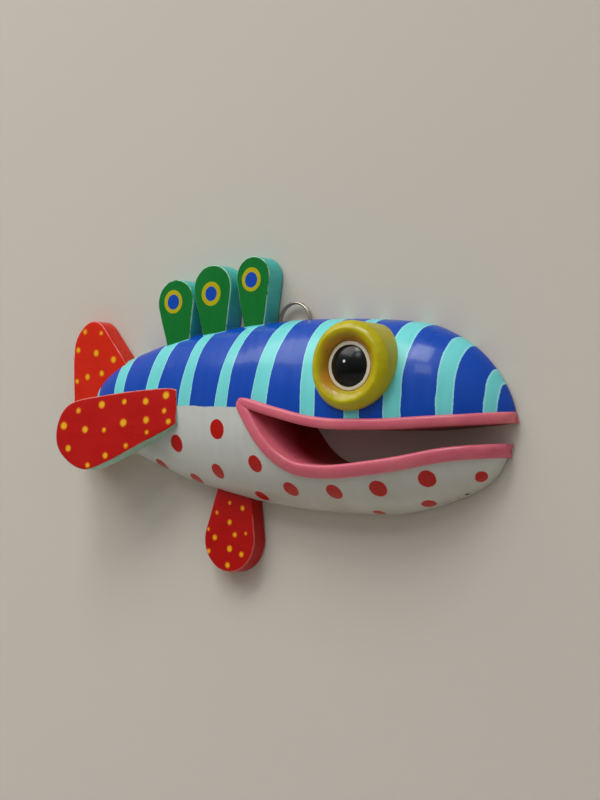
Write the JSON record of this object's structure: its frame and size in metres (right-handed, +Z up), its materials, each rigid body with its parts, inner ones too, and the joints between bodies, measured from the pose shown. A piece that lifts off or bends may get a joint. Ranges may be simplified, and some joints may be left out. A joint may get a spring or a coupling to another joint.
{
  "type": "fish wall hanging",
  "caption": "Carved wooden fish for a wall: half-round body sawn with an open mouth, board fins, turned eye, and a swinging ring at the back to hang it by.",
  "frame": {"origin": "on the flat back that lies against the wall, straight below the hanging ring, level with the upper edge of the belly paint", "axes": "+X towards the nose, +Y out of the back into the wall, +Z up; the carved face looks along -Y"},
  "size_m": [0.3894, 0.0573, 0.2267],
  "materials": {
    "paint_body": "gloss paint on wood: aqua stripes on blue above, red dots on white below",
    "paint_lips": "pink gloss paint on wood",
    "paint_red": "red gloss paint on wood with small yellow-orange dots",
    "paint_green": "green gloss paint on wood, each with a blue dot in a yellow ring",
    "paint_yellow": "yellow gloss paint on wood",
    "paint_white": "white gloss paint on wood",
    "paint_black": "black paint under a deep gloss varnish",
    "bare_wood": "bare birch dowel",
    "hanger_steel": "zinc-plated sheet steel",
    "ring_steel": "nickel-plated spring wire"
  },
  "bodies": {
    "fish": {"body": "paint_body", "upper_lip": "paint_lips", "lower_lip": "paint_lips", "tail_fin": "paint_red", "ventral_fin": "paint_red", "pectoral_fin": "paint_red", "dorsal_fin_rear": "paint_green", "dorsal_fin_middle": "paint_green", "dorsal_fin_front": "paint_green", "eye_ring": "paint_yellow", "eye_white": "paint_white", "eye_pupil": "paint_black", "eye_peg": "bare_wood", "dorsal_dowels": "bare_wood", "ventral_dowels": "bare_wood", "tail_dowels": "bare_wood", "pectoral_dowels": "bare_wood", "hanger_plate": "hanger_steel", "hanger_screws": "hanger_steel"},
    "ring": {"hanging_ring": "ring_steel"}
  },
  "joints": [
    {"name": "ring_swing", "type": "hinge", "parent": "fish", "child": "ring", "pos_m": [0, -0.0042, 0.0476], "axis": [-1, 0, 0], "range_deg": [-6, 150]}
  ]
}
